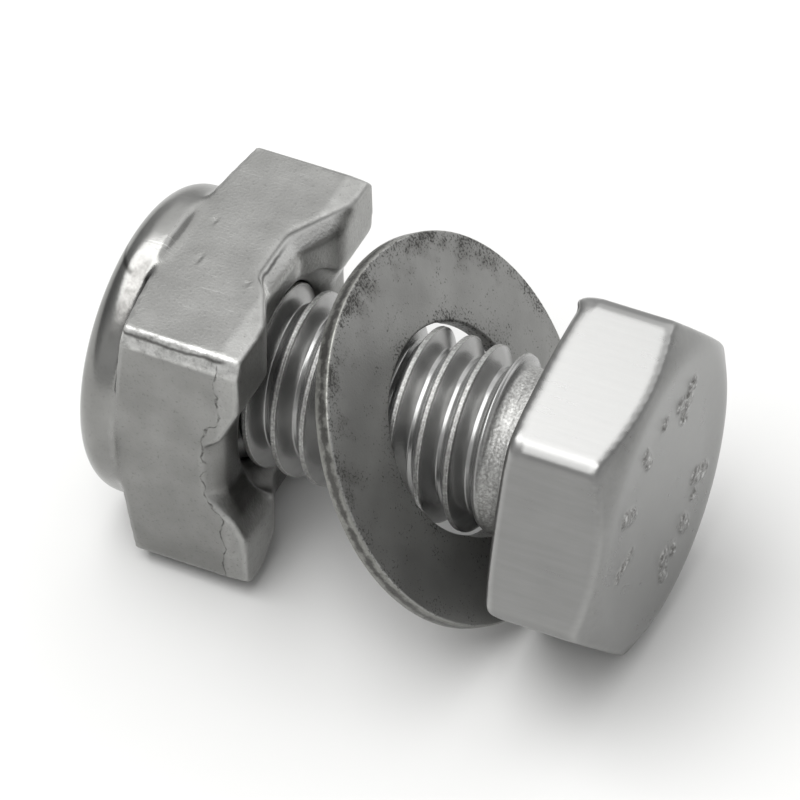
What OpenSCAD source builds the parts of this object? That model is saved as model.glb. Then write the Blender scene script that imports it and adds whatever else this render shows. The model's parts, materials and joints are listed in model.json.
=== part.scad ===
/* [Bolt] */
// Width of the hex head across its flats
head_af = 13; // [12.6:0.1:13.6]
// Height of the head
head_h = 4.7; // [4.4:0.1:5.6]
// Depth by which the head's corners are rounded off
corner_trim = 0.15; // [0:0.05:0.4]
// Set-in of the end chamfer from the flats
chamfer_inset = 0.4; // [0.2:0.1:0.8]
// Slope of the end chamfer, from the end face
head_chamfer_angle = 28; // [20:1:32]
// Set-in of the bearing face from the flats
bearing_inset = 0.3; // [0.1:0.1:0.5]
// Slope of the worn edge round the bearing face
bearing_edge_angle = 8; // [5:1:20]
// Turn of the head against the flats of the nut
head_turn = 42; // [31:1:59]
// Length of the shank under the head
shank_len = 18; // [17.5:0.5:22]
// Diameter over the crests of the thread
thread_d = 7.55; // [7.2:0.05:8]
// Advance of the thread in one turn
thread_pitch = 1.25; // [1:0.05:1.4]
// Turn of the thread about the axis
thread_turn = 136; // [0:1:359]
// Length of the plain neck under the head
neck_len = 1.7; // [1.2:0.1:2.2]
// Length beyond the neck in which the thread comes up to its full depth
runout_len = 0.6; // [0.5:0.1:1]
// Height of the chamfer on the end of the shank
point_h = 0.8; // [0.5:0.1:1]

/* [Washer] */
// Outer diameter of the washer
washer_d = 15.8; // [15:0.1:16.2]
// Diameter of its hole
washer_hole_d = 8.5; // [8.4:0.05:9.4]
// Thickness of its sheet
washer_t = 0.65; // [0.5:0.05:1.2]
// Break of its punched edges
washer_edge = 0.12; // [0.05:0.01:0.2]
// Lean of the loose washer on the thread
washer_lean = 31.5; // [24:0.5:34]

/* [Nut] */
// Width of the square nut across its flats
nut_side = 12.2; // [11.8:0.1:13]
// Bevel of its four long corners
nut_bevel = 0.35; // [0.2:0.05:0.7]
// Height of the square block
block_h = 5.5; // [5.2:0.1:6.4]
// Slope of the crown behind the block
crown_angle = 13; // [8:1:20]
// How far the round collar stands out from the flats
collar_over = 0.35; // [0.1:0.05:0.5]
// Height of the collar behind the block
collar_h = 1.9; // [1.8:0.1:2.6]
// Rounding of the collar's shoulder
collar_round = 1.3; // [0.9:0.1:1.4]
// Room for the wire between the washer's leaning edge and the clamping face
wire_gap = 1.9; // [0.5:0.1:3]
// Depth of the flare at the mouth of the bore
flare_h = 0.5; // [0.3:0.1:0.8]

/* [Wire grooves] */
// Width of a groove's floor
groove_floor = 3; // [2.6:0.1:3.6]
// Depth of a groove
groove_depth = 1; // [0.8:0.1:1.4]
// Slope of its walls, from the clamping face
groove_slope = 26; // [24:1:40]
// Rounding where a wall meets the clamping face
groove_round = 1.2; // [0.4:0.1:2]
// Length of the bevelled lip where a groove leaves the nut
lip_len = 0.6; // [0.4:0.05:0.8]
// Slope of that lip
lip_angle = 48; // [35:1:52]
// Width of the step that is left beside the lip, at one wall
lip_step = 0.5; // [0.2:0.1:1]
// Slope at which the lip runs up the other wall
lip_slope = 34; // [30:1:50]

/* [Locking ring] */
// Height of the ring in the collar
ring_h = 1.4; // [1.2:0.1:1.6]
// Wall of the ring
ring_wall = 1.2; // [1:0.1:1.3]
// Thickness of the rolled lip that holds the ring
rolled_lip = 0.5; // [0.4:0.1:0.7]
// Overhang of that lip over the ring
rolled_over = 0.4; // [0.2:0.1:0.8]

/* [Fits] */
// Gap between the thread's crests and the bores that run on it
thread_clearance = 0.04; // [0.03:0.01:0.1]
// Gap between the washer's foot and the bearing face
washer_clearance = 0.05; // [0.05:0.05:0.5]
// Gap all round the ring in its pocket
ring_clearance = 0.05; // [0.03:0.01:0.1]

/* [Hidden] */
curve_fn = 96;
thread_steps = 32;
lip_flare = 65;
round_steps = 4;
past = 2;
collar_sink = 0.1;
steel = "silver";
crest_r = thread_d / 2;
crest_flat = thread_pitch / 8;
root_flat = thread_pitch / 6;
thread_depth = (thread_pitch - crest_flat - root_flat) / 2 / tan(30);
root_r = crest_r - thread_depth;
plain_r = crest_r - thread_depth / 2;
bore_r = crest_r + thread_clearance;
corner_r = head_af / 2 / cos(30) - corner_trim;
head_flat_r = head_af / 2 - chamfer_inset;
bearing_r = head_af / 2 - bearing_inset;
// Half of the arc that the trim leaves on each corner of the head
corner_half = 30 - acos(head_af / 2 / corner_r);
head_edge = head_h - (corner_r - head_flat_r) * tan(head_chamfer_angle);
washer_reach = washer_d / 2 * sin(washer_lean) + washer_t / 2 * cos(washer_lean);
washer_gap = washer_reach + washer_clearance;
nut_gap = washer_gap + washer_reach + wire_gap;
collar_r = nut_side / 2 + collar_over;
// Rounding of the collar's front edge, which starts just inside the flats
collar_edge = collar_over + 0.05;
groove_run = groove_depth / tan(groove_slope);
groove_tangent = groove_round * tan(groove_slope / 2);
groove_mouth = groove_floor / 2 + groove_run;
pocket_r = bore_r + ring_wall + ring_clearance;
nut_h = block_h + collar_h;
ring_top = nut_h - rolled_lip - ring_clearance;
// Middle of the collar's rounded foot and the lowest points of the other pieces, along the axis and below it
collar_foot = [collar_round - nut_gap - nut_h, collar_r - collar_round];
washer_foot = [
    washer_d / 2 * sin(washer_lean) - washer_gap,
    washer_d / 2 * cos(washer_lean) + washer_t / 2 * sin(washer_lean)
];
head_foot = [
    (corner_r - bearing_r) * tan(bearing_edge_angle),
    corner_r * cos(max(0, 60 - head_turn - corner_half))
];
// The bolt lies on the collar's shoulder and on the lower of the other two
rest_tilt = max(tilt_on(washer_foot), tilt_on(head_foot));
rest_lift = collar_round + collar_foot.y * cos(rest_tilt) - collar_foot.x * sin(rest_tilt);
rear_reach = (nut_gap + nut_h) * cos(rest_tilt) + (collar_r - collar_round) * sin(rest_tilt);
front_reach = head_h * cos(rest_tilt) + head_flat_r * sin(rest_tilt);
rest_shift = (rear_reach - front_reach) / 2;

// Points of one thread form across a pitch: place along the axis and how full the thread is
thread_form = [
    [0, 0],
    [root_flat, 0],
    [(thread_pitch + root_flat - crest_flat) / 2, 1],
    [(thread_pitch + root_flat + crest_flat) / 2, 1]
];
thread_rows = ceil((shank_len / thread_pitch + 2) * thread_steps);

// Tilt at which the collar's round shoulder and a foot stand on one level
function tilt_on(foot) =
    let (run = foot - collar_foot)
    acos(collar_round / norm(run)) - atan2(run.x, run.y);

// Share of the full thread form at a height, fading towards the head
function thread_share(z) = min(1, max(0, (-z - neck_len) / runout_len));
function thread_point(row, form) =
    let (z = thread_form[form].x + (row / thread_steps - 1) * thread_pitch - shank_len)
    let (full = thread_form[form].y == 1 ? crest_r : root_r)
    let (r = plain_r + (full - plain_r) * thread_share(z))
    let (turn = thread_turn + 360 * row / thread_steps)
    [r * cos(turn), r * sin(turn), z];

// Lays what is modelled along Z, head end up, on the ground as it comes to rest
module at_rest() {
    translate([rest_shift, 0, rest_lift])
        rotate([0, -rest_tilt, 0])
            rotate([0, 90, 0])
                children();
}

// Helical thread on its core, open-ended past both ends of the shank
module thread_helix() {
    forms = len(thread_form);
    rows = thread_rows;
    points = [for (row = [0:rows]) for (form = [0:forms - 1]) thread_point(row, form)];
    at = function(row, form) form < forms ? row * forms + form : (row + thread_steps) * forms;
    low = len(points);
    high = low + 1;
    last = rows - thread_steps;
    sides = [
        for (row = [0:last - 1]) for (form = [0:forms - 1])
            [at(row, form), at(row, form + 1), at(row + 1, form + 1), at(row + 1, form)]
    ];
    skin = [for (q = sides) each [[q[0], q[1], q[2]], [q[0], q[2], q[3]]]];
    low_fan = [for (row = [0:thread_steps - 1]) [low, at(row, 0), at(row + 1, 0)]];
    low_step = [for (form = [0:forms - 1]) [low, at(0, form + 1), at(0, form)]];
    high_fan = [for (row = [last:rows - 1]) [high, at(row + 1, 0), at(row, 0)]];
    high_step = [for (form = [0:forms - 1]) [high, at(last, form), at(last, form + 1)]];
    ends = [[0, 0, points[0].z], [0, 0, points[rows * forms].z]];
    polyhedron(concat(points, ends), concat(skin, low_fan, low_step, high_fan, high_step));
}

module hex_head() {
    corner_low = (corner_r - bearing_r) * tan(bearing_edge_angle);
    intersection() {
        rotate(head_turn)
            cylinder(h = head_h, d = head_af / cos(30), $fn = 6);
        rotate_extrude($fn = curve_fn)
            polygon([
                [0, 0],
                [bearing_r, 0],
                [corner_r, corner_low],
                [corner_r, head_edge],
                [head_flat_r, head_h],
                [0, head_h]
            ]);
    }
}

module threaded_shank() {
    point_r = crest_r - point_h;
    intersection() {
        thread_helix();
        rotate_extrude($fn = curve_fn)
            polygon([
                [0, -shank_len],
                [point_r, -shank_len],
                [crest_r + past, -shank_len + point_h + past],
                [crest_r + past, head_h / 2],
                [0, head_h / 2]
            ]);
    }
}

module hex_bolt() {
    color(steel)
        at_rest() {
            hex_head();
            threaded_shank();
        }
}

module flat_washer() {
    inner = washer_hole_d / 2;
    outer = washer_d / 2;
    half = washer_t / 2;
    color("gainsboro")
        at_rest()
            translate([0, 0, -washer_gap])
                difference() {
                    rotate([0, -washer_lean, 0])
                        rotate_extrude($fn = curve_fn)
                            polygon([
                                [inner, -half],
                                [outer, -half],
                                [outer, half - washer_edge],
                                [outer - washer_edge, half],
                                [inner + washer_edge, half],
                                [inner, half - washer_edge]
                            ]);
                    // Relief of the hole's edges, where the leaning washer meets the thread
                    cylinder(h = washer_d, r = bore_r, center = true, $fn = curve_fn);
                }
}

// Section of a wire groove, with its walls rounded into the clamping face
module groove_section() {
    edge = groove_mouth + groove_tangent;
    arc = [for (i = [0:round_steps]) i * groove_slope / round_steps];
    rounding = [for (a = arc) [edge - groove_round * sin(a), groove_round * (cos(a) - 1)]];
    half = concat([[edge, past]], rounding, [[groove_floor / 2, -groove_depth]]);
    mirrored = [for (i = [len(half) - 1:-1:0]) [-half[i].x, half[i].y]];
    polygon(concat(half, mirrored));
}

// Section of the lip, on its own slope: it runs up one wall of the groove and stops short of the other
module lip_section() {
    half = groove_floor / 2;
    steep = lip_step - half;
    polygon([
        [steep, 0],
        [half, 0],
        [half + past / tan(lip_slope), past],
        [steep - past / tan(lip_flare), past]
    ]);
}

// A groove right across the clamping face, bevelled down where it leaves the nut
module wire_groove() {
    rotate([90, 0, 90])
        linear_extrude(nut_side + 2 * past, center = true)
            groove_section();
    for (side = [0, 180])
        rotate(side)
            translate([nut_side / 2 - lip_len, 0, -groove_depth])
                rotate([0, lip_angle, 0])
                    rotate([90, 0, 90])
                        linear_extrude(2 * past)
                            lip_section();
}

module nut_block() {
    half = nut_side / 2;
    far = nut_side / sqrt(2);
    flat = half - nut_bevel;
    crown = (far - collar_r) * tan(crown_angle);
    intersection() {
        translate([0, 0, -block_h])
            linear_extrude(block_h)
                polygon([
                    [half, flat], [flat, half], [-flat, half], [-half, flat],
                    [-half, -flat], [-flat, -half], [flat, -half], [half, -flat]
                ]);
        rotate_extrude($fn = curve_fn)
            polygon([[0, 0], [far, 0], [far, crown - block_h], [collar_r, -block_h], [0, -block_h]]);
    }
}

// What a rounding takes off a square corner
module round_off(r) {
    difference() {
        square(r);
        circle(r, $fn = curve_fn);
    }
}

module nut_collar() {
    collar_front = collar_h + collar_sink;
    translate([0, 0, -nut_h])
        rotate_extrude($fn = curve_fn)
            difference() {
                square([collar_r, collar_front]);
                translate([collar_r - collar_edge, collar_front - collar_edge])
                    round_off(collar_edge);
                translate([collar_r - collar_round, collar_round])
                    mirror([0, 1])
                        round_off(collar_round);
            }
}

module nut_bore() {
    floor_z = -groove_depth;
    rotate_extrude($fn = curve_fn)
        polygon([
            [0, past],
            [bore_r + flare_h, past],
            [bore_r + flare_h, floor_z],
            [bore_r, floor_z - flare_h],
            [bore_r, ring_h - ring_top + ring_clearance],
            [pocket_r, ring_h - ring_top + ring_clearance],
            [pocket_r, rolled_lip - nut_h],
            [pocket_r - rolled_over, rolled_lip - nut_h],
            [pocket_r - rolled_over, -nut_h - past],
            [0, -nut_h - past]
        ]);
}

module grooved_nut() {
    color(steel)
        at_rest()
            translate([0, 0, -nut_gap])
                difference() {
                    union() {
                        nut_block();
                        nut_collar();
                    }
                    nut_bore();
                    mirror([0, 1, 0])
                        wire_groove();
                    rotate(90)
                        wire_groove();
                }
}

module locking_ring() {
    color("ivory")
        at_rest()
            translate([0, 0, -nut_gap - ring_top])
                difference() {
                    cylinder(h = ring_h, r = pocket_r - ring_clearance, $fn = curve_fn);
                    translate([0, 0, -past])
                        cylinder(h = ring_h + 2 * past, r = bore_r, $fn = curve_fn);
                }
}

hex_bolt();
flat_washer();
grooved_nut();
locking_ring();
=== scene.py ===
import json
import math
import time

import bpy
import numpy as np
from mathutils import Matrix, Vector, noise


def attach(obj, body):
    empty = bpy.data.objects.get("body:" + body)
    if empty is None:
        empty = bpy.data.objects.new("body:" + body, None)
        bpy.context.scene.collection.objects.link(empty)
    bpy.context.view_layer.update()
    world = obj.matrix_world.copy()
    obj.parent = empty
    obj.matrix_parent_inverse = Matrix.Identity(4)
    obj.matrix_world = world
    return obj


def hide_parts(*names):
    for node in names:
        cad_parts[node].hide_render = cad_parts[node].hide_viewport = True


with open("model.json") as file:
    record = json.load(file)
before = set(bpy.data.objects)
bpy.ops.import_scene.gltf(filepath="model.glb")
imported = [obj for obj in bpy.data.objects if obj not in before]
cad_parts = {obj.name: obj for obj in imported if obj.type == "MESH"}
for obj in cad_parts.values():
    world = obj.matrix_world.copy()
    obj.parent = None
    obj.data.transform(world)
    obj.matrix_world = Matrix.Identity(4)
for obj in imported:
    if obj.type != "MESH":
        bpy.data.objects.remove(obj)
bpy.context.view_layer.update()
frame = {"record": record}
startTime = time.time()

# Pieces are modelled in millimetres along the bolt's own axis, head up, and laid down at the end
mounts = {mount["name"]: mount for mount in frame["record"]["mounts"]}
axis = Vector(mounts["head_end"]["axis"]).normalized()
tilt = math.asin(axis.z)
headEnd = Vector(mounts["head_end"]["pos_m"])
headHeight = 4.7
bearing = headEnd - axis * headHeight * 0.001  # middle of the face under the head
layTurn = Matrix.Rotation(-tilt, 4, "Y") @ Matrix.Rotation(math.radians(90), 4, "Y")
layDown = Matrix.Translation(bearing) @ layTurn @ Matrix.Scale(0.001, 4)
toolSides = 192  # of round cutting tools


def report(stage):
    print(f"{stage}: {time.time() - startTime:.1f} s")


def hold(piece):
    bpy.ops.object.select_all(action="DESELECT")
    piece.select_set(True)
    bpy.context.view_layer.objects.active = piece
    return piece


def pickWhere(piece, kind, test):
    # leaves the piece in edit mode with only the wanted faces, edges or points selected
    hold(piece)
    bpy.ops.object.mode_set(mode="EDIT")
    bpy.ops.mesh.select_mode(type=kind)
    bpy.ops.mesh.select_all(action="DESELECT")
    bpy.ops.object.mode_set(mode="OBJECT")
    mesh = piece.data
    if kind == "FACE":
        for face in mesh.polygons:
            face.select = test(face.center, face.normal)
    elif kind == "EDGE":
        for edge in mesh.edges:
            edge.select = test(mesh.vertices[edge.vertices[0]].co, mesh.vertices[edge.vertices[1]].co)
    else:
        for point in mesh.vertices:
            point.select = test(point.co)
    bpy.ops.object.mode_set(mode="EDIT")


def done():
    bpy.ops.object.mode_set(mode="OBJECT")


def applyNew(piece, kind, **settings):
    hold(piece)
    modifier = piece.modifiers.new(kind.lower(), kind)
    for key, value in settings.items():
        setattr(modifier, key, value)
    bpy.ops.object.modifier_apply(modifier=modifier.name)


def carve(piece, tool, how="DIFFERENCE", solver="EXACT"):
    applyNew(piece, "BOOLEAN", operation=how, solver=solver, object=tool)
    bpy.data.objects.remove(tool, do_unlink=True)


def roundBar(sides, radius, low, high):
    bpy.ops.object.select_all(action="DESELECT")
    bpy.ops.mesh.primitive_cylinder_add(
        vertices=sides, radius=radius, depth=high - low, location=(0, 0, (low + high) / 2)
    )
    hold(bpy.context.object)
    bpy.ops.object.transform_apply(location=True, rotation=False, scale=False)
    return bpy.context.object


def coneEnd(piece, sign, rise, share):
    # draws the top or bottom face out to a cone
    pickWhere(piece, "FACE", lambda middle, normal: normal.z * sign > 0.9)
    bpy.ops.mesh.extrude_region_move(TRANSFORM_OT_translate={"value": (0, 0, sign * rise)})
    bpy.ops.transform.resize(value=(share, share, 1))
    done()


def tidyMesh(piece, gap=0.0005):
    hold(piece)
    bpy.ops.object.mode_set(mode="EDIT")
    bpy.ops.mesh.select_mode(type="VERT")
    bpy.ops.mesh.select_all(action="SELECT")
    bpy.ops.mesh.remove_doubles(threshold=gap)
    bpy.ops.mesh.normals_make_consistent(inside=False)
    done()


def readPoints(piece):
    points = np.zeros(len(piece.data.vertices) * 3, np.float32)
    piece.data.vertices.foreach_get("co", points)
    return points.reshape(-1, 3).astype(float)


def writePoints(piece, points):
    piece.data.vertices.foreach_set("co", points.astype(np.float32).ravel())
    piece.data.update()


def soften(piece, chosen, rounds):
    # smooths only the chosen points
    group = piece.vertex_groups.new(name="soft")
    group.add([int(i) for i in np.flatnonzero(chosen)], 1.0, "REPLACE")
    applyNew(piece, "SMOOTH", factor=0.5, iterations=rounds, vertex_group="soft")
    piece.vertex_groups.remove(piece.vertex_groups["soft"])


def ease(values, low, high):
    share = np.clip((values - low) / (high - low), 0, 1)
    return share * share * (3 - 2 * share)


def markWearAndShade(piece, reach=0.16):
    # how far each point stands proud of its neighbours, 0 to 1, for the rubbed edges and for the painted
    # shade in hollows
    mesh = piece.data
    points = readPoints(piece)
    normals = np.zeros(len(points) * 3, np.float32)
    mesh.vertices.foreach_get("normal", normals)
    normals = normals.reshape(-1, 3).astype(float)
    ends = np.zeros(len(mesh.edges) * 2, np.int32)
    mesh.edges.foreach_get("vertices", ends)
    a, b = ends.reshape(-1, 2).T
    along = points[b] - points[a]
    length = np.linalg.norm(along, axis=1) + 1e-9
    bend = ((normals[b] - normals[a]) * along).sum(1) / length**2
    total, count = np.zeros(len(points)), np.zeros(len(points))
    for end in (a, b):
        np.add.at(total, end, bend)
        np.add.at(count, end, 1)
    curve = total / np.maximum(count, 1)
    for _ in range(2):  # spreads the mark to the next points
        total[:], count[:] = curve, 1
        for end, other in ((a, b), (b, a)):
            np.add.at(total, end, curve[other])
            np.add.at(count, end, 1)
        curve = total / count
    wear = np.clip(curve * reach, -1, 1) * 0.5 + 0.5
    attribute = mesh.attributes.new("wear", "FLOAT", "POINT")
    attribute.data.foreach_set("value", wear.astype(np.float32))


def finishPiece(piece, name, body, node, smoothAngle=None):
    hold(piece)
    piece.name = name
    piece.data.name = name
    piece.data.transform(layDown)
    piece.matrix_world = Matrix.Identity(4)
    piece.data.update()
    if smoothAngle is None:
        bpy.ops.object.shade_smooth()
    else:
        bpy.ops.object.shade_smooth_by_angle(angle=math.radians(smoothAngle))
    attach(piece, body)
    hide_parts(node)
    triangles = sum(len(face.vertices) - 2 for face in piece.data.polygons)
    report(f"{name} {triangles} triangles")
    return piece


# Camera, fitted to the photograph: place in millimetres and turn in degrees

view = {"place": (68.49, -147.924, 169.389), "turn": (45.1954, -0.7393, 25.6095), "lens": 261.63}

bpy.ops.object.camera_add(
    location=[value * 0.001 for value in view["place"]],
    rotation=[math.radians(value) for value in view["turn"]],
)
camera = bpy.context.object
camera.name = "photoCamera"
camera.data.lens = view["lens"]
camera.data.sensor_width = 36
camera.data.clip_start = 0.01
camera.data.clip_end = 10
bpy.context.scene.camera = camera
bpy.context.scene.view_settings.view_transform = "Standard"


# Shader helpers

def linear(hexText):
    values = [int(hexText[i:i + 2], 16) / 255 for i in (1, 3, 5)]
    return tuple(v / 12.92 if v <= 0.04045 else ((v + 0.055) / 1.055) ** 2.4 for v in values) + (1.0,)


def addNode(tree, kind, settings=None):
    # each setting is a value, a hex colour, or the node or output that it is linked from
    node = tree.nodes.new(kind)
    for key, value in (settings or {}).items():
        if isinstance(value, bpy.types.Node):
            value = value.outputs[0]
        if key == "stops":
            while len(node.color_ramp.elements) < len(value):
                node.color_ramp.elements.new(0.5)
            for element, (place, colour) in zip(node.color_ramp.elements, value):
                element.position = place
                element.color = linear(colour)
        elif isinstance(value, bpy.types.NodeSocket):
            tree.links.new(value, node.inputs[key])
        elif isinstance(key, int) or key in node.inputs:
            node.inputs[key].default_value = linear(value) if isinstance(value, str) else value
        else:
            setattr(node, key, value)
    return node


def addNodes(tree, kind, keys, rows):
    # one node for each named row of settings, where a short row keeps the last defaults
    return {name: addNode(tree, kind, dict(zip(keys, row))) for name, *row in rows}


noiseKeys = ("Vector", "Scale", "Detail", "Roughness")  # scales are in patches per millimetre
rangeKeys = ("Value", "From Min", "From Max", "To Min", "To Max")


def startMaterial(name):
    # returns the shader and a position in millimetres in the bolt's own frame
    material = bpy.data.materials.new(name)
    material.use_nodes = True
    tree = material.node_tree
    tree.nodes.clear()
    shader = addNode(tree, "ShaderNodeBsdfPrincipled")
    addNode(tree, "ShaderNodeOutputMaterial", {"Surface": shader})
    place = addNode(tree, "ShaderNodeTexCoord").outputs["Object"]
    local = addNode(
        tree, "ShaderNodeMapping",
        {
            "vector_type": "TEXTURE", "Vector": place,
            "Location": bearing, "Rotation": layTurn.to_euler(), "Scale": (0.001,) * 3,
        },
    )
    return material, tree, shader, local


# Bolt: a cold-headed hex head on a rolled thread

bolt = {
    "flats": 13.0,
    "turn": 42.0,  # of the head about the axis
    "cornerTrim": 0.15,
    "endInset": 0.4,
    "endAngle": 28.0,
    "bearingInset": 0.3,
    "bearingAngle": 8.0,
    "grain": 0.1,  # spacing of the head's mesh
    "softness": 8,  # rounds of smoothing, here and below
    "endSoftness": 60,
    "arcSoftness": 14,  # the arcs where the flats meet the end
    "footSoftness": 80,  # more rounding along the edge under the head
    "softReach": 0.8,  # how far from an edge the extra rounding goes
    "arcReach": 0.3,
    "dish": 0.1,
    "dishRamp": 2.2,
    "burrAngle": 162.0,  # corner where heading left a burr
    "burr": 0.25,
    "burrReach": 0.32,
    "burrInset": 0.35,
    "burrHeight": 0.15,
    "markRing": 3.9,
    "markHeight": 0.1,
    "markRough": 0.5,  # share of that height that wanders
    "markPatches": 3.4,  # per millimetre, here and below
    # plain raised bars and dots: angle round the head, length and width
    "marks": [
        (145, 2.2, 0.95), (158, 0.85, 0.75), (180, 0.8, 0.75), (206, 1.5, 0.75), (241, 1.8, 0.85),
        (275, 2.1, 0.6), (0, 1.8, 0.95), (14, 0.8, 0.7), (31, 1.3, 0.95), (49, 0.8, 0.75), (62, 1.9, 0.95),
    ],
    "length": 18.0,
    "crest": 3.775,
    "pitch": 1.25,
    "threadTurn": 136.0,  # of the thread about the axis
    "seam": 0.035,  # depth of the fold that rolling leaves along the crest
    "seamWidth": 0.05,
    "neck": 1.7,  # without a full thread, under the head
    "neckTrace": 0.16,  # share of the thread's depth that shows in the neck
    "neckGrit": 0.035,
    "gritPatches": 5.0,
    "runout": 0.6,
    "point": 0.8,  # off the radius at the end
    "sunkShare": 0.3,  # of the head's height that the shank reaches into
    "turnSteps": 72,
    "pitchPoints": 27,
}


def threadRadius(along, depth, pitch):
    # thread form across one pitch, with a rolled crest and a rounded root
    rootFlat, crestFlat = pitch / 6, pitch / 8
    middle = (pitch + rootFlat) / 2
    away = abs(along - middle)
    flank = (pitch - rootFlat - crestFlat) / 2
    fullness = 1 - (away - crestFlat / 2) / flank
    fullness = min(1.0, max(0.0, fullness))
    rounded = fullness * fullness * (3 - 2 * fullness)
    seam = bolt["seam"] * math.exp(-((away / bolt["seamWidth"]) ** 2))
    return bolt["crest"] - depth + depth * (0.75 * fullness + 0.25 * rounded) - seam


def dressHead(points):
    # dished end with raised marks, and the burr at one corner
    size = bolt
    x, y, z = points.T
    onEnd = ease(z, headHeight - 0.06, headHeight - 0.02)
    lift = -size["dish"] * ease(size["flats"] / 2 - size["endInset"] - np.hypot(x, y), 0.1, size["dishRamp"])
    wander = np.array([noise.noise(Vector(point) * size["markPatches"]) for point in points])
    rough = 1 + size["markRough"] * wander
    raised = np.zeros(len(points))
    for angle, length, width in size["marks"]:
        outward = np.array([math.cos(math.radians(angle)), math.sin(math.radians(angle))])
        along = x * outward[0] + y * outward[1] - size["markRing"]
        across = y * outward[0] - x * outward[1]
        reach = max((length - width) / 2, 0)
        away = np.hypot(along - np.clip(along, -reach, reach), across)
        raised = np.maximum(raised, ease(width / 2 - away + 0.1 * (rough - 1), -0.05, 0.25))
    lift = lift + size["markHeight"] * np.clip(rough, 0.6, 1.25) * raised
    points[:, 2] += lift * onEnd
    burrR = size["flats"] / 2 / math.cos(math.radians(30)) - size["burrInset"]
    burrTurn = math.radians(size["burrAngle"])
    burrPlace = np.array([burrR * math.cos(burrTurn), burrR * math.sin(burrTurn), size["burrHeight"]])
    away = np.linalg.norm(points - burrPlace, axis=1)
    points[:, 2] -= size["burr"] * np.exp(-((away / size["burrReach"]) ** 2))
    return points


def markRaised(head):
    # where the end face stands above its dish, 0 to 1, for the rough skin of the marks
    points = readPoints(head)
    edgeAway = bolt["flats"] / 2 - bolt["endInset"] - np.hypot(points[:, 0], points[:, 1])
    above = points[:, 2] - headHeight + bolt["dish"] * ease(edgeAway, 0.1, bolt["dishRamp"])
    raised = ease(above, 0.005, 0.04) * ease(edgeAway, 0.8, 1.0)
    attribute = head.data.attributes.new("raised", "FLOAT", "POINT")
    attribute.data.foreach_set("value", raised.astype(np.float32))


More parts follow.
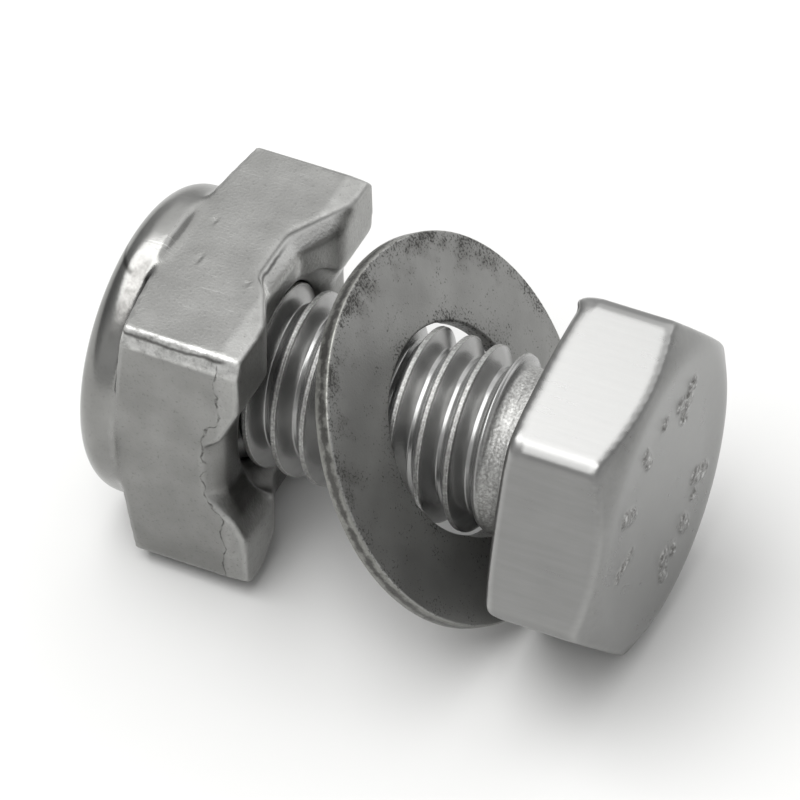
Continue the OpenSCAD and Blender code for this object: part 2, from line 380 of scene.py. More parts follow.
def makeBolt():
    size = bolt
    cornerR = size["flats"] / 2 / math.cos(math.radians(30)) - size["cornerTrim"]
    endR = size["flats"] / 2 - size["endInset"]
    bearingR = size["flats"] / 2 - size["bearingInset"]
    edge = headHeight - (cornerR - endR) * math.tan(math.radians(size["endAngle"]))
    low = (cornerR - bearingR) * math.tan(math.radians(size["bearingAngle"]))
    head = roundBar(6, size["flats"] / 2 / math.cos(math.radians(30)), 0, headHeight)
    head.rotation_euler.z = math.radians(size["turn"] - 30)
    bpy.ops.object.transform_apply(location=False, rotation=True, scale=False)
    tool = roundBar(toolSides, cornerR, low, edge)
    coneEnd(tool, 1, headHeight - edge, endR / cornerR)
    coneEnd(tool, -1, low, bearingR / cornerR)
    carve(head, tool, "INTERSECT")
    applyNew(head, "REMESH", mode="VOXEL", voxel_size=size["grain"])
    applyNew(head, "SMOOTH", factor=0.5, iterations=size["softness"])
    points = readPoints(head)
    flatTurns = [math.radians(size["turn"] + 30 + 60 * k) for k in range(6)]
    reach = np.max([points[:, 0] * math.cos(a) + points[:, 1] * math.sin(a) for a in flatTurns], axis=0)
    inward = size["flats"] / 2 - reach  # depth below the flats
    fromAxis = np.hypot(points[:, 0], points[:, 1])
    cone = headHeight - (fromAxis - endR) * math.tan(math.radians(size["endAngle"]))
    onFoot = (points[:, 2] < size["softReach"]) & (inward < size["softReach"])
    onArc = (abs(points[:, 2] - cone) < size["arcReach"]) & (inward < size["arcReach"])
    onRim = (points[:, 2] > headHeight - 0.5) & (abs(fromAxis - endR) < size["softReach"]) & (inward > 0.15)
    soften(head, onFoot, size["footSoftness"])
    soften(head, onArc, size["arcSoftness"])
    soften(head, onRim, size["endSoftness"])
    writePoints(head, dressHead(readPoints(head)))
    report("head shaped")

    # one upright edge of a plane, cut into points and bent to the thread form
    pitch = size["pitch"]
    rootFlat, crestFlat = pitch / 6, pitch / 8
    depth = (pitch - rootFlat - crestFlat) / 2 / math.tan(math.radians(30))
    plain = size["crest"] - depth / 2
    bpy.ops.object.select_all(action="DESELECT")
    bpy.ops.mesh.primitive_plane_add(size=pitch, rotation=(math.radians(90), 0, 0))
    shank = bpy.context.object
    bpy.ops.object.transform_apply(location=False, rotation=True, scale=False)
    pickWhere(shank, "VERT", lambda point: point.x < 0)
    bpy.ops.mesh.delete(type="VERT")
    bpy.ops.mesh.select_all(action="SELECT")
    bpy.ops.mesh.subdivide(number_cuts=size["pitchPoints"])
    done()
    points = readPoints(shank)
    along = points[:, 2] + pitch / 2
    points[:, 0] = [threadRadius(value, depth, pitch) for value in along]
    points[:, 1] = 0
    points[:, 2] = along - 2 * pitch - size["length"]
    writePoints(shank, points)
    turns = math.ceil(size["length"] / pitch) + 4
    applyNew(
        shank,
        "SCREW",
        axis="Z",
        angle=2 * math.pi,
        screw_offset=pitch,
        iterations=turns,
        steps=size["turnSteps"],
        render_steps=size["turnSteps"],
        use_merge_vertices=True,
        merge_threshold=0.0005,
    )
    hold(shank)
    shank.rotation_euler.z = math.radians(size["threadTurn"])
    bpy.ops.object.transform_apply(location=False, rotation=True, scale=False)
    tidyMesh(shank)
    for height, keepAbove in ((-size["length"], True), (headHeight * size["sunkShare"], False)):
        hold(shank)
        bpy.ops.object.mode_set(mode="EDIT")
        bpy.ops.mesh.select_all(action="SELECT")
        bpy.ops.mesh.bisect(
            plane_co=(0, 0, height), plane_no=(0, 0, 1), use_fill=True,
            clear_inner=keepAbove, clear_outer=not keepAbove, threshold=0.0001,
        )
        done()
    # the thread fades out under the head and is turned down to a point
    points = readPoints(shank)
    radius = np.hypot(points[:, 0], points[:, 1])
    height = points[:, 2]
    share = np.clip((-height - size["neck"]) / size["runout"], 0, 1)
    trace = size["neckTrace"] * ease(-height, 0.3, size["neck"])
    wanted = plain + (radius - plain) * np.maximum(share, trace)
    grit = np.array([noise.noise(Vector(point) * size["gritPatches"]) for point in points])
    wanted = wanted + size["neckGrit"] * grit * (1 - share) * (height < 0)
    wanted = np.minimum(wanted, size["crest"] - size["point"] + height + size["length"])
    points[:, :2] *= (wanted / np.maximum(radius, 1e-6))[:, None]
    writePoints(shank, points)
    tidyMesh(shank, 0.0002)
    report("thread rolled")
    carve(head, shank, "UNION", "MANIFOLD")
    tidyMesh(head, 0.0002)
    markWearAndShade(head)
    markRaised(head)
    return head


# cold-headed stainless steel, tumbled: a soft satin grey with faint lines drawn along the axis
def headedSteel():
    material, tree, shader, local = startMaterial("cold headed stainless steel")
    height = addNode(tree, "ShaderNodeSeparateXYZ", {"Vector": local}).outputs["Z"]
    rubAndShade = addNode(tree, "ShaderNodeAttribute", {"attribute_name": "wear"}).outputs["Fac"]
    raised = addNode(tree, "ShaderNodeAttribute", {"attribute_name": "raised"}).outputs["Fac"]
    lines = addNode(tree, "ShaderNodeMapping", {"Vector": local, "Scale": (1, 1, 0.1)})
    parts = addNodes(tree, "ShaderNodeTexNoise", noiseKeys, [
        ("drawn", lines, 3.5, 5.0, 0.6),
        ("cloud", local, 0.45, 4.0),
        ("fine", local, 6.0, 4.0),
        ("grains", local, 4.5, 3.0, 0.7),
    ])
    mixed = addNode(tree, "ShaderNodeMix", {"Factor": 0.5, "A": parts["cloud"], "B": parts["drawn"]})
    parts.update(addNodes(tree, "ShaderNodeMapRange", rangeKeys, [
        ("edge", rubAndShade, 0.53, 0.66),
        ("foot", height, 0.9, 0.5, 0.15, 0.5),  # the edge under the head is rubbed most
        ("skinShare", raised, 0.0, 1.0, 0.0, 0.9),
        # painted shade in hollow corners
        ("soot", rubAndShade, 0.44, 0.34, 0.0, 0.6),
        ("gloss", mixed, 0.3, 0.7, 0.26, 0.33),
    ]))
    rub = addNode(tree, "ShaderNodeMath", {"operation": "MULTIPLY", 0: parts["edge"], 1: parts["foot"]})
    tone = addNode(
        tree, "ShaderNodeValToRGB",
        {"Fac": mixed, "stops": [(0.34, "#858584"), (0.5, "#8a8a89"), (0.66, "#8f8f8e")]},
    )
    # the marks have a rough skin, dark with light grains; painted shade darkens hollow corners, most around
    # the marks
    skin = addNode(
        tree, "ShaderNodeValToRGB",
        {
            "Fac": parts["grains"],
            "stops": [(0.36, "#504f4d"), (0.48, "#757473"), (0.57, "#8e8e8c"), (0.66, "#bababa")],
        },
    )
    colour = tone
    # rubbed edges, the marks' skin, then painted shade in hollows
    for share, over in ((rub, "#d2d2d0"), (parts["skinShare"], skin), (parts["soot"], "#4a4947")):
        layer = addNode(tree, "ShaderNodeMix", {"data_type": "RGBA", 0: share, 6: colour, 7: over})
        colour = layer.outputs[2]
    tree.links.new(colour, shader.inputs["Base Color"])
    tree.links.new(parts["gloss"].outputs[0], shader.inputs["Roughness"])
    bump = addNode(tree, "ShaderNodeBump", {"Height": parts["fine"], "Strength": 0.02, "Distance": 0.00005})
    tree.links.new(bump.outputs[0], shader.inputs["Normal"])
    shader.inputs["Metallic"].default_value = 1.0
    return material


# rolled stainless thread: burnished flanks that mirror the room, frosted crests and a rough light neck
def rolledThread():
    material, tree, shader, local = startMaterial("rolled stainless thread")
    x, y, z = addNode(tree, "ShaderNodeSeparateXYZ", {"Vector": local}).outputs
    flat = addNode(tree, "ShaderNodeCombineXYZ", {"X": x, "Y": y})
    radius = addNode(tree, "ShaderNodeVectorMath", {"operation": "LENGTH", 0: flat}).outputs["Value"]
    parts = addNodes(tree, "ShaderNodeTexNoise", noiseKeys, [
        ("grit", local, 9.0, 4.0, 0.6),
        ("cloud", local, 1.1, 3.0),
    ])
    parts.update(addNodes(tree, "ShaderNodeMapRange", rangeKeys, [
        ("crest", radius, bolt["crest"] - 0.06, bolt["crest"] - 0.03),
        ("neck", z, -bolt["neck"] - 0.35, -bolt["neck"] - 0.05),
    ]))
    rough = addNode(tree, "ShaderNodeMath", {"operation": "MAXIMUM", 0: parts["crest"], 1: parts["neck"]})
    depth = addNode(tree, "ShaderNodeMath", {"operation": "MULTIPLY", 0: parts["grit"], 1: rough})
    burnished = addNode(
        tree, "ShaderNodeValToRGB", {"Fac": parts["cloud"], "stops": [(0.3, "#8f8f8e"), (0.7, "#a1a1a0")]}
    )
    frosted = addNode(
        tree, "ShaderNodeValToRGB",
        {"Fac": parts["grit"], "stops": [(0.3, "#807f7d"), (0.5, "#9c9c9a"), (0.7, "#c0c0be")]},
    )
    colour = addNode(tree, "ShaderNodeMix", {"data_type": "RGBA", 0: rough, 6: burnished, 7: frosted})
    tree.links.new(colour.outputs[2], shader.inputs["Base Color"])
    gloss = addNode(tree, "ShaderNodeMapRange", {"Value": rough, "To Min": 0.27, "To Max": 0.48})
    tree.links.new(gloss.outputs[0], shader.inputs["Roughness"])
    bump = addNode(tree, "ShaderNodeBump", {"Height": depth, "Strength": 0.5, "Distance": 0.00005})
    tree.links.new(bump.outputs[0], shader.inputs["Normal"])
    shader.inputs["Metallic"].default_value = 0.85  # a thin dull film
    return material


boltPiece = makeBolt()
heights = [face.center.z for face in boltPiece.data.polygons]
boltPiece.data.materials.clear()
boltPiece.data.materials.append(headedSteel())
boltPiece.data.materials.append(rolledThread())
boltPiece.data.polygons.foreach_set("material_index", [0 if height > -0.015 else 1 for height in heights])
finishPiece(boltPiece, "bolt", "bolt", "hex_bolt")


# Washer: punched from sheet, loose on the thread

washer = {
    "across": 15.8,
    "hole": 8.5,
    "sheet": 0.65,
    "lean": 31.5,
    "play": 0.05,  # between its head-side edge and the head
    "threadPlay": 0.04,
    "roll": 0.12,
    "burr": 0.035,
    "sides": 256,
    "shave": 0.004,  # keeps the many-sided rim inside the true circle's box
}
washerLean = math.radians(washer["lean"])
washerReach = washer["across"] / 2 * math.sin(washerLean) + washer["sheet"] / 2 * math.cos(washerLean)
washerGap = washerReach + washer["play"]
washerFrame = Matrix.Translation((0, 0, -washerGap)) @ Matrix.Rotation(-washerLean, 4, "Y")


def makeWasher():
    size = washer
    half = size["sheet"] / 2
    piece = roundBar(size["sides"], (size["across"] - size["shave"]) / 2, -half, half)
    carve(piece, roundBar(size["sides"], size["hole"] / 2, -half - 1, half + 1))
    # the punch draws the edges round on the head's side and leaves a small burr behind
    for sign, width, steps in ((1, size["roll"], 5), (-1, size["burr"], 2)):
        pickWhere(
            piece, "EDGE",
            lambda a, b: abs(a.z - sign * half) < 1e-4 and abs(b.z - sign * half) < 1e-4
            and abs(a.xy.length - b.xy.length) < 0.01,
        )
        bpy.ops.mesh.bevel(offset=width, segments=steps, profile=0.5, affect="EDGES")
        done()
    tidyMesh(piece, 0.0002)
    piece.data.transform(washerFrame)
    # the hole's edges are relieved where they lean on the thread
    carve(piece, roundBar(toolSides, bolt["crest"] + size["threadPlay"], -washerGap - 6, -washerGap + 6))
    tidyMesh(piece, 0.0002)
    return piece


# punched steel sheet: satin grey faces, dark specks of scale towards the edges, a torn line round the rim
def punchedSheet():
    material, tree, shader, local = startMaterial("punched steel sheet")
    rimR, holeR = washer["across"] / 2, washer["hole"] / 2
    own = addNode(
        tree, "ShaderNodeMapping",
        {
            "vector_type": "TEXTURE", "Vector": local,
            "Location": (0, 0, -washerGap), "Rotation": (0, -washerLean, 0),
        },
    )
    x, y, z = addNode(tree, "ShaderNodeSeparateXYZ", {"Vector": own}).outputs
    flat = addNode(tree, "ShaderNodeCombineXYZ", {"X": x, "Y": y})
    radius = addNode(tree, "ShaderNodeVectorMath", {"operation": "LENGTH", 0: flat}).outputs["Value"]
    parts = addNodes(tree, "ShaderNodeTexNoise", noiseKeys, [
        ("cloud", own, 0.5, 4.0),
        ("patch", own, 1.3, 3.0),
        ("speck", own, 9.0, 3.0, 0.6),
        ("torn", own, 2.4, 5.0, 0.65),
    ])
    parts.update(addNodes(tree, "ShaderNodeMapRange", rangeKeys, [
        # scale clings near the rim and the hole, more on the upper half, and in loose patches
        ("nearRim", radius, rimR - 1.1, rimR - 0.15),
        ("nearHole", radius, holeR + 0.7, holeR),
        ("upper", x, 3.0, -4.0, 0.35 * 0.15, 0.15),
        ("loose", parts["patch"], 0.4, 0.75, -0.07, 0.1),
        # soft smears towards the rim of the upper half
        ("smearPatch", parts["patch"], 0.46, 0.66, 0.0, 0.55),
        ("smearRim", radius, rimR - 1.8, rimR - 0.5),
        ("smearUpper", x, 0.0, -3.0),
        # the rim: smooth where the punch cut, dark and torn along the middle
        ("onRim", radius, rimR - 0.05, rimR - 0.03),
        ("wander", parts["torn"], 0.3, 0.7, -0.06, 0.24),
    ]))
    parts["middle"] = addNode(tree, "ShaderNodeMath", {"operation": "ABSOLUTE", 0: z})
    for name, how, first, *others in (
        ("near", "MAXIMUM", "nearRim", "nearHole"),
        ("lift", "MULTIPLY", "near", "upper"),
        ("scale", "ADD", "speck", "lift", "loose"),
        ("smear", "MULTIPLY", "smearPatch", "smearRim", "smearUpper"),
        ("inner", "SUBTRACT", "wander", "middle"),
    ):
        parts[name] = parts[first]
        for other in others:
            parts[name] = addNode(tree, "ShaderNodeMath", {"operation": how, 0: parts[name], 1: parts[other]})
    parts.update(addNodes(tree, "ShaderNodeMapRange", rangeKeys, [
        ("dark", parts["scale"], 0.6, 0.72, 0.0, 0.75),
        ("tear", parts["inner"], -0.12, 0.04, 0.0, 0.9),
    ]))
    tone = addNode(
        tree, "ShaderNodeValToRGB", {"Fac": parts["cloud"], "stops": [(0.3, "#8c8c8a"), (0.7, "#9c9c9a")]}
    )
    edge = addNode(tree, "ShaderNodeMix", {"data_type": "RGBA", 0: parts["tear"], 6: "#83837f", 7: "#464543"})
    colour = tone
    for share, over in (
        (parts["smear"], "#5f5e5b"),
        (parts["dark"], "#3a3937"),
        (parts["onRim"], edge.outputs[2]),
    ):
        layer = addNode(tree, "ShaderNodeMix", {"data_type": "RGBA", 0: share, 6: colour, 7: over})
        colour = layer.outputs[2]
    tree.links.new(colour, shader.inputs["Base Color"])
    gloss = addNode(
        tree, "ShaderNodeMapRange", {"Value": parts["dark"], "From Max": 0.75, "To Min": 0.34, "To Max": 0.6}
    )
    tree.links.new(gloss.outputs[0], shader.inputs["Roughness"])
    bump = addNode(tree, "ShaderNodeBump", {"Height": parts["speck"], "Strength": 0.25, "Distance": 0.00004})
    tree.links.new(bump.outputs[0], shader.inputs["Normal"])
    shader.inputs["Metallic"].default_value = 0.8  # a thin dull film
    return material


washerPiece = makeWasher()
washerPiece.data.materials.clear()
washerPiece.data.materials.append(punchedSheet())
finishPiece(washerPiece, "washer", "washer", "flat_washer", smoothAngle=40)


# Nut: square block with a round collar, forged in one piece, with two crossing wire grooves

ring = {
    "wall": 1.2,
    "top": -5.45,
    "bottom": -6.85,
    "play": 0.05,  # in its pocket in the collar
    "edge": 0.12,
    "sides": 128,
}
nut = {
    "side": 12.2,
    "bevel": 0.35,
    "scuffedBevel": 0.7,  # the upper front edge is worn further down the front face
    "block": 5.5,
    "crownAngle": 13.0,
    "collarOver": 0.35,
    "collarHeight": 1.89,
    "collarRound": 1.1,
    "collarSink": 0.1,
    "collarEdge": 0.2,
    "collarShave": 0.01,  # keeps the longer band above the floor
    "wireGap": 1.9,
    "flare": 0.5,
    "floorWidth": 3.0,
    "depth": 1.0,
    "slope": 26.0,
    "shoulder": 1.2,
    "lipLength": 0.85,
    # each groove's lip: its depth at the side, where each flank starts, and how steep it is
    "uprightLip": {"depth": 1.66, "gentleFrom": 1.6, "gentle": 31.0, "steepFrom": 0.96, "steep": 47.0},
    "levelLip": {"depth": 1.75, "gentleFrom": 1.5, "gentle": 49.0, "steepFrom": 1.13, "steep": 57.0},
    "turnedRings": 0.02,
    "turnedPitch": 0.5,
    "turnedWidth": 1.3,
    "rimDepth": 0.95,  # the sides lean in from this depth to the clamping face
    "rimLean": 3.0,
    # nicks in the upper side: place across, depth behind the clamping face, length
    "nicks": [(1.1, -4.57, 0.3), (-1.14, -4.13, 0.5), (-1.65, -1.77, 0.25)],
    "nickDepth": 0.035,
    "nickWidth": 0.17,
    "nickRidge": 0.025,  # metal pushed up beside a nick
    "ridgeAway": 0.2,
    "ridgeWidth": 0.13,
    "faceSteps": 160,
    "grain": 0.1,
    "softness": 3,
    "lipSoftness": 18,  # pressing rounds the edges of the grooves more
    "lipReach": 2.2,  # down from the clamping face
    "creaseSoftness": 14,  # forging leaves no sharp corner between block and collar
    "creaseReach": 0.5,
    "creaseInset": 0.3,  # keeps that rounding clear of the ring's pocket
    "rolledLip": 0.5,
    "rolledOver": 0.4,
}
nutGap = washerGap + washerReach + nut["wireGap"]
nutBore = bolt["crest"] + washer["threadPlay"]
pocketR = nutBore + ring["wall"] + ring["play"]
nutBottom = -nut["block"] - nut["collarHeight"]


def grooveHeight(away):
    # height of one groove's section at a distance from its middle line
    size = nut
    slope = math.radians(size["slope"])
    mouth = size["floorWidth"] / 2 + size["depth"] / math.tan(slope)
    edge = mouth + size["shoulder"] * math.tan(slope / 2)
    wall = -size["depth"] + (away - size["floorWidth"] / 2) * math.tan(slope)
    inArc = np.clip(edge - away, 0, size["shoulder"] * math.sin(slope))
    arc = np.sqrt(size["shoulder"] ** 2 - inArc**2) - size["shoulder"]
    height = np.where(away > edge - size["shoulder"] * math.sin(slope), arc, wall)
    return np.clip(height, -size["depth"], 0)


def clampHeight(x, y):
    # height of the clamping face: two crossing grooves, each running out over a lip at both ends
    size = nut
    height = np.minimum(grooveHeight(abs(x)), grooveHeight(abs(y)))
    turned = np.hypot(x, y) - nutBore - size["flare"]
    fade = ease(turned, size["turnedWidth"], size["turnedWidth"] - 0.4)
    height = height + size["turnedRings"] * np.sin(turned * 2 * math.pi / size["turnedPitch"]) * fade
    for out, across, lip in ((x, y, size["uprightLip"]), (y, x, size["levelLip"])):
        side = -np.sign(out) * across
        gentle = np.maximum(side - lip["gentleFrom"], 0) * math.tan(math.radians(lip["gentle"]))
        steep = np.maximum(-lip["steepFrom"] - side, 0) * math.tan(math.radians(lip["steep"]))
        groove = grooveHeight(abs(across))
        outer = np.minimum(groove, -lip["depth"] + np.maximum(gentle, steep))
        share = np.clip(1 - (size["side"] / 2 - abs(out)) / size["lipLength"], 0, 1.2)
        height = np.minimum(height, groove + (outer - groove) * share)
    return height


def wearNut(points):
    # the rim leans in, and the upper side has a few nicks with a raised edge
    size = nut
    half = size["side"] / 2
    x, y, z = points.T.copy()
    lean = np.maximum(z + size["rimDepth"], 0) * math.tan(math.radians(size["rimLean"]))
    for i, value in ((0, x), (1, y)):
        points[:, i] -= np.sign(value) * lean * ease(abs(value), half - 0.5, half - 0.15)
    onTop = ease(-x, half - 0.12, half - 0.05)
    for across, depth, length in size["nicks"]:
        along = ((y - across) / length) ** 2
        sunk = np.exp(-3 * (along + ((z - depth) / size["nickWidth"]) ** 2))
        ridge = np.exp(-3 * (along + ((z - depth - size["ridgeAway"]) / size["ridgeWidth"]) ** 2))
        points[:, 0] += onTop * (size["nickDepth"] * sunk - size["nickRidge"] * ridge)
    return points


def makeNut():
    size = nut
    half = size["side"] / 2
    collarR = half + size["collarOver"] - size["collarShave"]
    bpy.ops.object.select_all(action="DESELECT")
    bpy.ops.mesh.primitive_cube_add(size=1, location=(0, 0, (1 - size["block"]) / 2))
    block = hold(bpy.context.object)
    block.scale = (size["side"], size["side"], size["block"] + 1)
    bpy.ops.object.transform_apply(location=True, rotation=False, scale=True)
    pickWhere(block, "EDGE", lambda a, b: abs(a.z - b.z) > 1)
    bpy.ops.mesh.bevel(offset=size["bevel"], segments=1, affect="EDGES")
    done()
    pickWhere(block, "VERT", lambda point: point.y < 0.01 - half and -half + 0.1 < point.x < 0)
    bpy.ops.transform.translate(value=(size["scuffedBevel"] - size["bevel"], 0, 0))
    done()
    # the crown behind the block
    far = size["side"] / math.sqrt(2) + 0.2
    crown = (far - collarR) * math.tan(math.radians(size["crownAngle"]))
    tool = roundBar(toolSides, far, crown - size["block"], 2)
    coneEnd(tool, -1, crown, collarR / far)
    carve(block, tool, "INTERSECT")
    # the collar bulges a little beyond the sides
    collarTop = size["collarSink"] - size["block"]
    collar = roundBar(toolSides, collarR, nutBottom, collarTop)
    pickWhere(collar, "EDGE", lambda a, b: a.z < nutBottom + 0.01 and b.z < nutBottom + 0.01)
    bpy.ops.mesh.bevel(offset=size["collarRound"], segments=10, affect="EDGES")
    done()
    pickWhere(collar, "EDGE", lambda a, b: a.z > collarTop - 0.01 and b.z > collarTop - 0.01)
    bpy.ops.mesh.bevel(offset=size["collarEdge"], segments=4, affect="EDGES")
    done()
    carve(block, collar, "UNION")
    # the clamping face is pressed down over the block as one sheet
    bpy.ops.object.select_all(action="DESELECT")
    steps = size["faceSteps"]
    bpy.ops.mesh.primitive_grid_add(x_subdivisions=steps, y_subdivisions=steps, size=size["side"] + 1)
    sheet = hold(bpy.context.object)
    points = readPoints(sheet)
    points[:, 2] = clampHeight(points[:, 0], points[:, 1])
    writePoints(sheet, points)
    applyNew(sheet, "SMOOTH", factor=0.5, iterations=4)
    pickWhere(sheet, "FACE", lambda middle, normal: True)
    bpy.ops.mesh.extrude_region_move(TRANSFORM_OT_translate={"value": (0, 0, 5)})
    bpy.ops.transform.resize(value=(1, 1, 0))
    done()
    tidyMesh(sheet)
    carve(block, sheet, "DIFFERENCE")
    # bore, flared mouth and the ring's pocket
    carve(block, roundBar(toolSides, nutBore, nutBottom - 1, 2))
    mouthR = nutBore + size["flare"] + 0.3
    mouth = roundBar(toolSides, mouthR, 0.3 - size["depth"], 2)
    coneEnd(mouth, -1, size["flare"] + 0.3, nutBore / mouthR)
    carve(block, mouth)
    carve(block, roundBar(toolSides, pocketR, nutBottom + size["rolledLip"], ring["top"] + ring["play"]))
    carve(block, roundBar(toolSides, pocketR - size["rolledOver"], nutBottom - 1, ring["top"] - 0.5))
    report("nut cut")
    applyNew(block, "REMESH", mode="VOXEL", voxel_size=size["grain"])
    applyNew(block, "SMOOTH", factor=0.5, iterations=size["softness"])
    points = readPoints(block)
    soften(block, points[:, 2] > -size["lipReach"], size["lipSoftness"])
    outside = np.hypot(points[:, 0], points[:, 1]) > pocketR + size["creaseInset"]
    onCrease = abs(points[:, 2] + size["block"]) < size["creaseReach"]
    soften(block, onCrease & outside, size["creaseSoftness"])
    writePoints(block, wearNut(readPoints(block)))
    markWearAndShade(block)
    block.data.transform(Matrix.Translation((0, 0, -nutGap)))
    return block


# forged stainless steel: tumbled grey with an orange-peel grain, pressing folds, pits and edges rubbed
# bright, with painted highlights on the upper groove and painted shade in the grooves, hollows and on the
# collar
def forgedSteel():
    material, tree, shader, local = startMaterial("forged stainless steel")
    half, block = nut["side"] / 2, nut["block"]
    own = addNode(
        tree, "ShaderNodeMapping", {"vector_type": "TEXTURE", "Vector": local, "Location": (0, 0, -nutGap)}
    )
    x, y, z = addNode(tree, "ShaderNodeSeparateXYZ", {"Vector": own}).outputs
    across = addNode(tree, "ShaderNodeMath", {"operation": "ABSOLUTE", 0: x})
    rubAndShade = addNode(tree, "ShaderNodeAttribute", {"attribute_name": "wear"}).outputs["Fac"]
    rake = addNode(
        tree, "ShaderNodeMapping", {"Vector": own, "Rotation": (0.35, 0, 0), "Scale": (1, 11, 0.55)}
    )
    parts = addNodes(tree, "ShaderNodeTexNoise", noiseKeys, [
        ("cloud", own, 0.5, 4.0),
        ("mottle", own, 2.6, 5.0, 0.65),
        ("grain", own, 8.0, 4.0),
        ("pits", own, 8.0, 2.0, 0.55),
        ("drift", own, 1.1, 2.5),
        ("hair", rake, 1.0, 3.0, 0.7),
    ])
    parts.update(addNodes(tree, "ShaderNodeMapRange", rangeKeys, [
        ("rub", rubAndShade, 0.54, 0.75, 0.0, 0.4),
        # scuffed band below the upper front edge
        ("bandUp", x, 0.85 - half, 0.65 - half),
        ("bandFront", y, 0.5 - half, 0.4 - half),
        # fine scratches on the upper side, in loose bundles
        ("hairLine", parts["hair"], 0.6, 0.7, 0.0, 0.5),
        ("bundle", parts["cloud"], 0.48, 0.6),
        ("onUpper", x, 0.3 - half, 0.15 - half),
        # paler rim between the fold and the clamping face
        ("rim", z, -1.05, -0.8, 0.0, 0.45),
        # painted highlight: the upper lip is painted paler
        ("lipOuter", x, 0.08 - half, 0.16 - half),
        ("lipInner", x, 1.1 - half, 0.8 - half),
        ("lipDeep", z, -0.2, -0.5, 0.0, 0.9),
        ("lipFront", z, -2.4, -2.1),
        ("lipInside", y, 0.5 - half, 1.2 - half),
        ("offBack", y, half - 0.2, half - 0.6),
        # painted highlight: the far wall of the upper groove is painted paler
        ("wallAcross", y, 0.9, 1.7),
        ("wallAlong", x, -1.5, -2.5, 0.0, 0.75),
        # dark fold that pressing the grooves left on the front side, broken here and there
        ("course", across, 1.5, 2.7, 1.72, nut["rimDepth"]),
        ("wander", parts["drift"], 0.2, 0.8, -0.3, 0.3),
        ("onFront", y, 0.2 - half, 0.12 - half),
        ("broken", parts["mottle"], 0.4, 0.6, 0.1, 1.0),
        # pits, and painted shade in the hollows and along a crease just inside the upper lip
        ("pit", parts["pits"], 0.6, 0.76, 0.0, 0.28),
        ("hollowed", rubAndShade, 0.44, 0.25, 0.0, 0.5),
        ("inLip", z, -0.45, -0.8),
        ("creaseFront", y, 1.6, 0.4),
        # painted shade in the lower half of the grooves
        ("lowHalf", x, -1.0, 1.0, 0.0, 0.8),
        ("inside", y, 0.3 - half, 0.8 - half),
        ("inGroove", z, -0.1, -0.5),
        ("upfront", z, -2.8, -2.4),
        # painted shade: the middle of the collar is painted darker from a little below its top
        ("belowTop", y, -1.75, -2.15),
        ("aboveLow", y, -5.2, -4.2),
        # the collar was turned and is smoother than the forged block, and worn edges scatter the light
        ("turned", z, 0.3 - block, -block),
        ("forgedGloss", parts["grain"], 0.3, 0.7, 0.3, 0.42),
        ("edgeGloss", rubAndShade, 0.53, 0.65, 0.0, 0.55),
    ]))
    # thin bands by the distance from their middle line: its place, outer and inner reach, and share
    foldDepth = addNode(tree, "ShaderNodeMath", {"operation": "ADD", 0: parts["course"], 1: parts["wander"]})
    foldPlace = addNode(tree, "ShaderNodeMath", {"operation": "ADD", 0: z, 1: foldDepth})
    inset = addNode(tree, "ShaderNodeMath", {"operation": "ADD", 0: x, 1: half - 0.24})
    creasePlace = addNode(
        tree, "ShaderNodeMath", {"operation": "MULTIPLY_ADD", 0: parts["wander"], 1: 0.25, 2: inset}
    )
    collarPlace = addNode(tree, "ShaderNodeMath", {"operation": "ADD", 0: z, 1: block + 0.5})
    for name, place, outer, inner, most in (
        ("foldLine", foldPlace, 0.06, 0.015, 0.8),
        ("creaseLine", creasePlace, 0.09, 0.02, 0.75),
        ("onCollar", collarPlace, 0.34, 0.22, 0.85),
    ):
        away = addNode(tree, "ShaderNodeMath", {"operation": "ABSOLUTE", 0: place})
        parts[name] = addNode(
            tree, "ShaderNodeMapRange", {"Value": away, "From Min": outer, "From Max": inner, "To Max": most}
        )
    for name, how, first, *others in (
        ("band", "MULTIPLY", "bandUp", "bandFront"),
        ("scratch", "MULTIPLY", "hairLine", "onUpper", "bundle"),
        ("paleRim", "MULTIPLY", "rim", "mottle"),
        ("lip", "MULTIPLY", "lipOuter", "lipInner", "lipDeep", "lipFront", "lipInside", "offBack"),
        ("wall", "MULTIPLY", "wallAcross", "wallAlong", "lipDeep", "lipFront", "lipOuter", "offBack"),
        # painted highlight on the upper lip and groove wall
        ("pressed", "MAXIMUM", "lip", "wall"),
        ("fold", "MULTIPLY", "foldLine", "onFront", "broken"),
        ("crease", "MULTIPLY", "creaseLine", "inLip", "creaseFront"),
        # painted shade in the lower half of the grooves
        ("dirt", "MULTIPLY", "lowHalf", "inside", "inGroove", "upfront"),
        # painted shade in hollows near the clamping face
        ("sunk", "MULTIPLY", "hollowed", "upfront"),
        ("dark", "MAXIMUM", "fold", "pit", "sunk", "dirt", "crease"),
        ("dull", "MULTIPLY", "onCollar", "belowTop", "aboveLow"),
    ):
        parts[name] = parts[first]
        for other in others:
            parts[name] = addNode(tree, "ShaderNodeMath", {"operation": how, 0: parts[name], 1: parts[other]})
    ramps = addNodes(tree, "ShaderNodeValToRGB", ("Fac", "stops"), [
        ("tone", parts["cloud"], [(0.3, "#81817f"), (0.5, "#898987"), (0.7, "#929290")]),
        ("scuffed", parts["mottle"], [(0.3, "#848482"), (0.42, "#adadab"), (0.6, "#cbcbc9")]),
        ("dulled", parts["mottle"], [(0.35, "#676664"), (0.65, "#858482")]),
    ])
    colour = ramps["tone"]
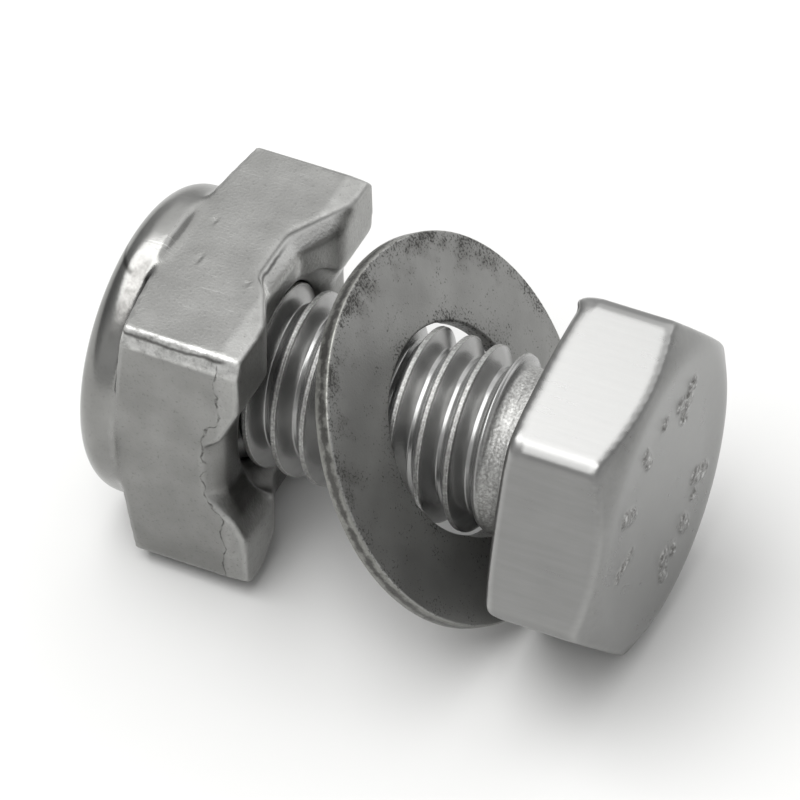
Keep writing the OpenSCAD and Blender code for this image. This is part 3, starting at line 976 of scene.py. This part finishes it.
    for share, over in (
        (parts["rub"], "#d0d0ce"),
        (parts["band"], ramps["scuffed"]),
        (parts["scratch"], "#bdbdbb"),
        (parts["paleRim"], "#c4c4c2"),
        # painted highlight on the upper lip and groove wall
        (parts["pressed"], "#e6e6e4"),
        # dark pits and fold line, with painted shade in the grooves, hollows and crease
        (parts["dark"], "#3b3a38"),
        # painted shade on the middle of the collar
        (parts["dull"], ramps["dulled"]),
    ):
        layer = addNode(tree, "ShaderNodeMix", {"data_type": "RGBA", 0: share, 6: colour, 7: over})
        colour = layer.outputs[2]
    tree.links.new(colour, shader.inputs["Base Color"])
    plainGloss = addNode(
        tree, "ShaderNodeMix", {"Factor": parts["turned"], "A": parts["forgedGloss"], "B": 0.24}
    )
    gloss = addNode(tree, "ShaderNodeMath", {"operation": "MAXIMUM", 0: plainGloss, 1: parts["edgeGloss"]})
    tree.links.new(gloss.outputs[0], shader.inputs["Roughness"])
    relief = addNode(
        tree, "ShaderNodeMath", {"operation": "MULTIPLY_ADD", 0: parts["fold"], 1: -0.8, 2: parts["grain"]}
    )
    peel = addNode(tree, "ShaderNodeMapRange", {"Value": parts["turned"], "To Min": 0.3, "To Max": 0.04})
    bump = addNode(tree, "ShaderNodeBump", {"Height": relief, "Strength": peel, "Distance": 0.00005})
    tree.links.new(bump.outputs[0], shader.inputs["Normal"])
    shader.inputs["Metallic"].default_value = 1.0
    return material


nutPiece = makeNut()
nutPiece.data.materials.clear()
nutPiece.data.materials.append(forgedSteel())
finishPiece(nutPiece, "nut", "nut", "grooved_nut")


# Locking ring: nylon, held in the collar

def makeRing():
    size = ring
    piece = roundBar(size["sides"], nutBore + size["wall"], size["bottom"], size["top"])
    carve(piece, roundBar(size["sides"], nutBore, size["bottom"] - 1, size["top"] + 1))
    pickWhere(piece, "EDGE", lambda a, b: abs(a.z - b.z) < 1e-4 and abs(a.xy.length - b.xy.length) < 0.01)
    bpy.ops.mesh.bevel(offset=size["edge"], segments=4, affect="EDGES")
    done()
    tidyMesh(piece)
    piece.data.transform(Matrix.Translation((0, 0, -nutGap)))
    return piece


# moulded nylon: off-white, slightly waxy, with a faint cloudiness
def mouldedNylon():
    material, tree, shader, local = startMaterial("moulded nylon")
    cloud = addNode(tree, "ShaderNodeTexNoise", {"Vector": local, "Scale": 1.2, "Detail": 3.0})
    tone = addNode(tree, "ShaderNodeValToRGB", {"Fac": cloud, "stops": [(0.3, "#d8d3c4"), (0.7, "#e6e2d6")]})
    tree.links.new(tone.outputs["Color"], shader.inputs["Base Color"])
    shader.inputs["Roughness"].default_value = 0.45
    return material


ringPiece = makeRing()
ringPiece.data.materials.clear()
ringPiece.data.materials.append(mouldedNylon())
finishPiece(ringPiece, "ring", "ring", "locking_ring", smoothAngle=40)


# Studio: a pale floor, a soft room and one softbox overhead

studio = {
    "floor": "#dbdbda",
    "floorSpan": 6,
    "horizon": 0.7,
    "leftShare": 0.35,  # the room is darker beyond the nut
    "ceiling": 0.5,
    "window": (0.0, 0.68, 0.73),  # a paler patch behind and above
    "windowGlow": 1.05,
    "boxPlace": (-0.115, -0.07, 0.335),
    "boxAim": (0, 0, 0.007),
    "boxDepth": 0.46,
    "boxWidth": 0.26,
    "boxGlow": 4.0,
}

bpy.ops.object.select_all(action="DESELECT")
bpy.ops.mesh.primitive_plane_add(size=studio["floorSpan"])
floor = bpy.context.object
floor.name = "floor"
floorMaterial = bpy.data.materials.new("pale floor")
floorMaterial.use_nodes = True
floorShader = floorMaterial.node_tree.nodes["Principled BSDF"]
floorShader.inputs["Base Color"].default_value = linear(studio["floor"])
floorShader.inputs["Roughness"].default_value = 0.9
floorShader.inputs["Specular IOR Level"].default_value = 0.1
floor.data.materials.append(floorMaterial)

world = bpy.data.worlds.new("studio room")
bpy.context.scene.world = world
world.use_nodes = True
tree = world.node_tree
tree.nodes.clear()
direction = addNode(tree, "ShaderNodeTexCoord").outputs["Generated"]
aside, _, upward = addNode(tree, "ShaderNodeSeparateXYZ", {"Vector": direction}).outputs
facing = addNode(
    tree, "ShaderNodeVectorMath", {"operation": "DOT_PRODUCT", 0: direction, 1: studio["window"]}
)
room = addNodes(tree, "ShaderNodeMapRange", rangeKeys + ("interpolation_type",), [
    ("height", upward, 0.35, 0.65, studio["horizon"], studio["ceiling"], "SMOOTHSTEP"),
    ("left", aside, -0.95, -0.6, studio["leftShare"], 1.0),
    ("window", facing.outputs["Value"], 0.78, 0.93, 0.0, studio["windowGlow"], "SMOOTHSTEP"),
])
walls = addNode(tree, "ShaderNodeMath", {"operation": "MULTIPLY", 0: room["height"], 1: room["left"]})
light = addNode(tree, "ShaderNodeMath", {"operation": "ADD", 0: walls, 1: room["window"]})
background = addNode(tree, "ShaderNodeBackground", {"Color": light, "Strength": 1.0})
addNode(tree, "ShaderNodeOutputWorld", {"Surface": background})

bpy.ops.object.light_add(type="AREA", location=studio["boxPlace"])
box = bpy.context.object
box.name = "softbox"
box.data.shape = "RECTANGLE"
box.data.size = studio["boxDepth"]
box.data.size_y = studio["boxWidth"]
box.data.energy = studio["boxGlow"] * math.pi * studio["boxDepth"] * studio["boxWidth"]
aim = Vector(studio["boxAim"]) - Vector(studio["boxPlace"])
box.rotation_euler = aim.to_track_quat("-Z", "Y").to_euler()
report("studio lit")
